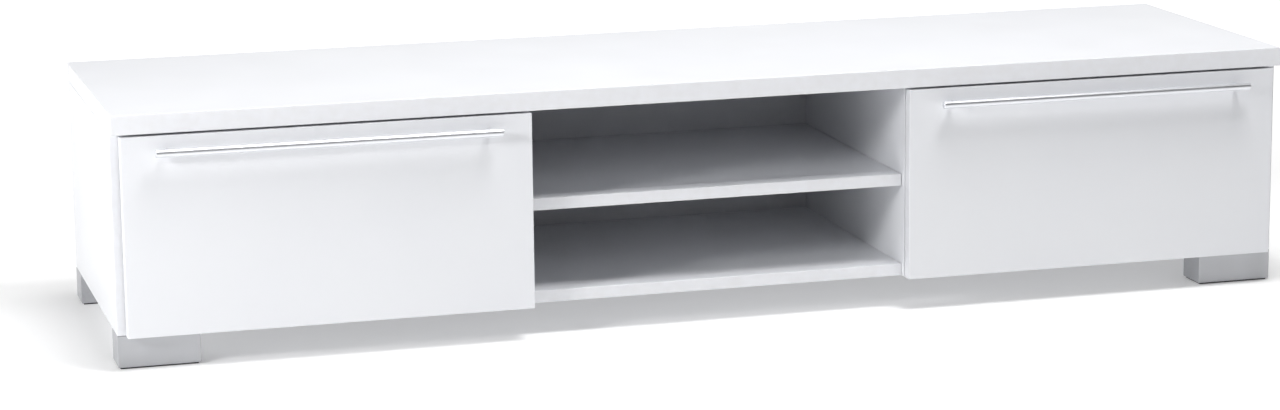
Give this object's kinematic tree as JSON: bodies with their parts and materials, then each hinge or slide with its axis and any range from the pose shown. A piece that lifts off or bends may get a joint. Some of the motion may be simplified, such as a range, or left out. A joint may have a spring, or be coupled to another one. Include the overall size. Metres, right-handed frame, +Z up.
{
  "type": "television bench with drop-down flaps",
  "caption": "Long low white television bench: thick top, open middle bay with a shelf, drop-down flap doors with slim bar handles, and silver block feet.",
  "frame": {"origin": "on the floor, at the middle of the bench's width and of its depth over the handles", "axes": "+X to the right seen from the front, +Y to the back (the front faces -Y), +Z up"},
  "size_m": [1.6, 0.465, 0.33],
  "materials": {
    "white_board": "smooth white lacquered board, satin to gloss",
    "white_hardboard": "thin white-faced hardboard, matt",
    "bar_metal": "fine satin",
    "foot_silver": "silver lacquer, satin",
    "zinc_steel": "bright zinc plate",
    "dark_plastic": "moulded, matt",
    "felt_pad": "dark felt-faced glide pad, matt"
  },
  "bodies": {
    "carcass": {"top_panel": "white_board", "left_side_panel": "white_board", "right_side_panel": "white_board", "left_partition": "white_board", "right_partition": "white_board", "left_bottom_panel": "white_board", "middle_bottom_panel": "white_board", "right_bottom_panel": "white_board", "left_back_panel": "white_hardboard", "middle_back_panel": "white_hardboard", "right_back_panel": "white_hardboard", "middle_shelf": "white_board", "shelf_peg_left_front": "zinc_steel", "shelf_peg_left_rear": "zinc_steel", "shelf_peg_right_front": "zinc_steel", "shelf_peg_right_rear": "zinc_steel", "foot_front_left": "foot_silver", "foot_front_right": "foot_silver", "foot_rear_left": "foot_silver", "foot_rear_right": "foot_silver", "foot_pad_front_left": "felt_pad", "foot_pad_front_right": "felt_pad", "foot_pad_rear_left": "felt_pad", "foot_pad_rear_right": "felt_pad", "left_hinge_left_arm": "zinc_steel", "left_hinge_right_arm": "zinc_steel", "right_hinge_left_arm": "zinc_steel", "right_hinge_right_arm": "zinc_steel", "left_stay_stud_plate": "zinc_steel", "right_stay_stud_plate": "zinc_steel", "left_magnetic_catch": "dark_plastic", "right_magnetic_catch": "dark_plastic"},
    "left_door": {"left_flap_door": "white_board", "left_handle_bar": "bar_metal", "left_handle_post_left": "bar_metal", "left_handle_post_right": "bar_metal", "left_handle_screw_left": "zinc_steel", "left_handle_screw_right": "zinc_steel", "left_hinge_left_cup": "zinc_steel", "left_hinge_left_pin": "zinc_steel", "left_hinge_right_cup": "zinc_steel", "left_hinge_right_pin": "zinc_steel", "left_stay_bracket": "zinc_steel", "left_stay_rivet": "zinc_steel", "left_strike_plate": "zinc_steel"},
    "right_door": {"right_flap_door": "white_board", "right_handle_bar": "bar_metal", "right_handle_post_left": "bar_metal", "right_handle_post_right": "bar_metal", "right_handle_screw_left": "zinc_steel", "right_handle_screw_right": "zinc_steel", "right_hinge_left_cup": "zinc_steel", "right_hinge_left_pin": "zinc_steel", "right_hinge_right_cup": "zinc_steel", "right_hinge_right_pin": "zinc_steel", "right_stay_bracket": "zinc_steel", "right_stay_rivet": "zinc_steel", "right_strike_plate": "zinc_steel"},
    "left_stay": {"left_stay_arm": "zinc_steel"},
    "right_stay": {"right_stay_arm": "zinc_steel"}
  },
  "joints": [
    {"name": "left_door_hinge", "type": "hinge", "parent": "carcass", "child": "left_door", "pos_m": [-0.524, -0.2055, 0.051], "axis": [1, 0, 0], "range_deg": [0, 90]},
    {"name": "left_stay_pivot", "type": "hinge", "parent": "left_door", "child": "left_stay", "pos_m": [-0.7795, -0.1875, 0.169], "axis": [1, 0, 0], "range_deg": [-45, 0]},
    {"name": "right_door_hinge", "type": "hinge", "parent": "carcass", "child": "right_door", "pos_m": [0.524, -0.2055, 0.051], "axis": [1, 0, 0], "range_deg": [0, 90]},
    {"name": "right_stay_pivot", "type": "hinge", "parent": "right_door", "child": "right_stay", "pos_m": [0.7795, -0.1875, 0.169], "axis": [1, 0, 0], "range_deg": [-45, 0]}
  ],
  "couplings": [
    {"joint": "left_stay_pivot", "follows": "left_door_hinge", "ratio": -0.5},
    {"joint": "right_stay_pivot", "follows": "right_door_hinge", "ratio": -0.5}
  ]
}
